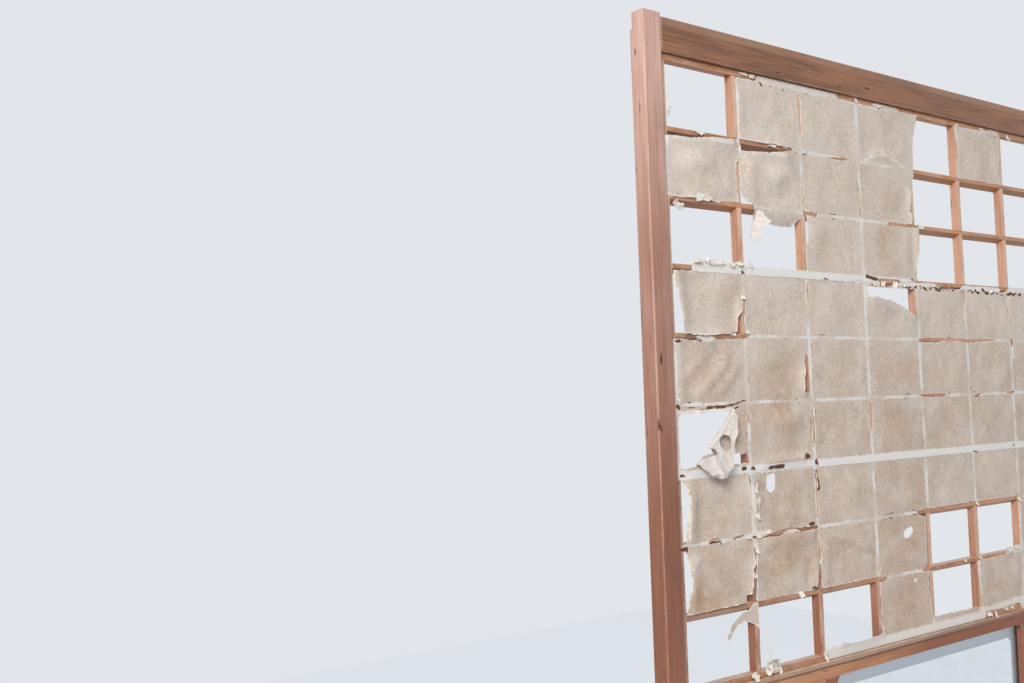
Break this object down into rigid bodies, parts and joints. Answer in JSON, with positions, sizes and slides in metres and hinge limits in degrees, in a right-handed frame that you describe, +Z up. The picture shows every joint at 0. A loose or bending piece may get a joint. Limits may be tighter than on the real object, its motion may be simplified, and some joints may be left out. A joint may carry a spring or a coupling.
{
  "type": "shoji sliding screen",
  "caption": "Wooden sliding screen: half-lapped lattice with torn pasted paper over a low window and thin boards, in a jointed frame with horns and a head tongue.",
  "frame": {"origin": "middle of the bottom edge, at mid width and mid thickness of the stiles", "axes": "+X along the width, to the right as seen from the papered face; +Z up; the papered face looks along -Y"},
  "size_m": [0.913, 0.028, 1.757],
  "materials": {
    "frame_wood": "bare weathered cedar",
    "lattice_wood": "bare weathered cedar",
    "board_wood": "bare weathered cedar",
    "paper": "old mulberry paper, stained",
    "glass": "clear pane with a frosted border"
  },
  "bodies": {
    "root": {"bottom_rail": "frame_wood", "glass_pane": "glass", "glazing_bead_bottom": "frame_wood", "glazing_bead_left": "frame_wood", "glazing_bead_right": "frame_wood", "glazing_bead_top": "frame_wood", "hanging_paper_strip": "paper", "horizontal_lattice_bar_1": "lattice_wood", "horizontal_lattice_bar_2": "lattice_wood", "horizontal_lattice_bar_3": "lattice_wood", "horizontal_lattice_bar_4": "lattice_wood", "horizontal_lattice_bar_5": "lattice_wood", "horizontal_lattice_bar_6": "lattice_wood", "horizontal_lattice_bar_7": "lattice_wood", "horizontal_lattice_bar_8": "lattice_wood", "lattice_edging_bottom": "lattice_wood", "lattice_edging_left": "lattice_wood", "lattice_edging_right": "lattice_wood", "lattice_edging_top": "lattice_wood", "left_stile": "frame_wood", "lower_board": "board_wood", "lower_rail": "frame_wood", "mid_rail": "frame_wood", "paper_curl_on_edging": "paper", "paper_scrap_right": "paper", "paper_scrap_top": "paper", "paper_strip_lower": "paper", "paper_strip_middle": "paper", "paper_strip_upper": "paper", "right_stile": "frame_wood", "side_board_left": "board_wood", "side_board_right": "board_wood", "top_rail": "frame_wood", "upright_lattice_bar_1": "lattice_wood", "upright_lattice_bar_2": "lattice_wood", "upright_lattice_bar_3": "lattice_wood", "upright_lattice_bar_4": "lattice_wood", "upright_lattice_bar_5": "lattice_wood", "upright_lattice_bar_6": "lattice_wood", "upright_lattice_bar_7": "lattice_wood", "window_stile_left": "frame_wood", "window_stile_right": "frame_wood"}
  },
  "joints": []
}
